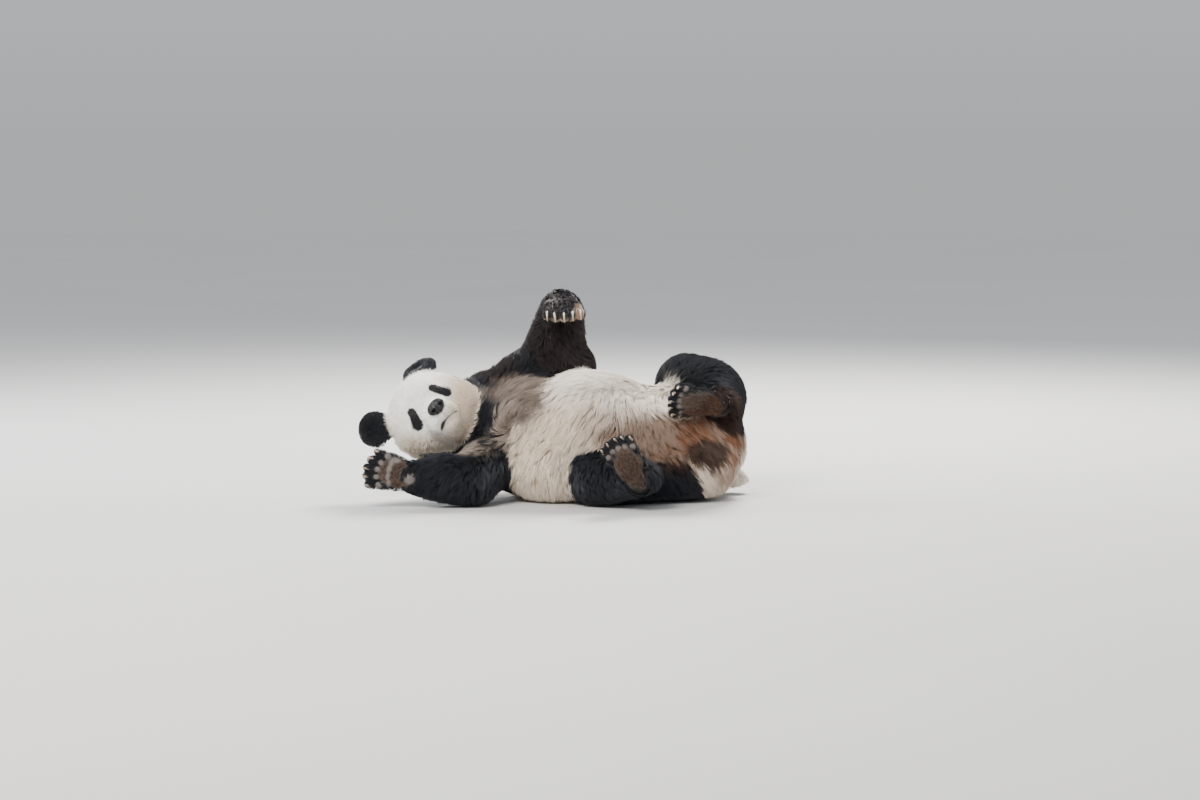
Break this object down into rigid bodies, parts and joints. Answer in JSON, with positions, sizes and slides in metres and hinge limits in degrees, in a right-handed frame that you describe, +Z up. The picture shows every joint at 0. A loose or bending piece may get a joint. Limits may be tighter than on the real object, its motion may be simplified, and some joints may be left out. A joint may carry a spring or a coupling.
{
  "type": "giant panda",
  "caption": "Life-size adult giant panda lying on its back and side, one foreleg raised, the other stretched on the floor, hind legs folded.",
  "frame": {"origin": "middle of the footprint's bounding box, on the floor", "axes": "+Z up; +X from the head towards the rump; -Y is the side the face and belly turn to"},
  "size_m": [1.3871, 0.7381, 0.7239],
  "materials": {
    "white_coat": "dull, fluffy",
    "black_coat": "soft sheen",
    "face_coat": "dull, short",
    "nose_skin": "damp",
    "eye_gloss": "wet gloss",
    "claw_horn": "smooth horn"
  },
  "bodies": {
    "root": {"ear_left": "black_coat", "ear_right": "black_coat", "eye_left": "eye_gloss", "eye_right": "eye_gloss", "foreleg_left_lower": "black_coat", "foreleg_left_upper": "black_coat", "foreleg_right_lower": "black_coat", "foreleg_right_upper": "black_coat", "forepaw_left": "black_coat", "forepaw_left_claw_1": "claw_horn", "forepaw_left_claw_2": "claw_horn", "forepaw_left_claw_3": "claw_horn", "forepaw_left_claw_4": "claw_horn", "forepaw_left_claw_5": "claw_horn", "forepaw_right": "black_coat", "forepaw_right_claw_1": "claw_horn", "forepaw_right_claw_2": "claw_horn", "forepaw_right_claw_3": "claw_horn", "forepaw_right_claw_4": "claw_horn", "forepaw_right_claw_5": "claw_horn", "head": "face_coat", "hindfoot_left": "black_coat", "hindfoot_left_claw_1": "claw_horn", "hindfoot_left_claw_2": "claw_horn", "hindfoot_left_claw_3": "claw_horn", "hindfoot_left_claw_4": "claw_horn", "hindfoot_left_claw_5": "claw_horn", "hindfoot_right": "black_coat", "hindfoot_right_claw_1": "claw_horn", "hindfoot_right_claw_2": "claw_horn", "hindfoot_right_claw_3": "claw_horn", "hindfoot_right_claw_4": "claw_horn", "hindfoot_right_claw_5": "claw_horn", "hindleg_left_lower": "black_coat", "hindleg_left_upper": "black_coat", "hindleg_right_lower": "black_coat", "hindleg_right_upper": "black_coat", "neck": "black_coat", "nose": "nose_skin", "tail": "white_coat", "trunk": "white_coat"}
  },
  "joints": []
}
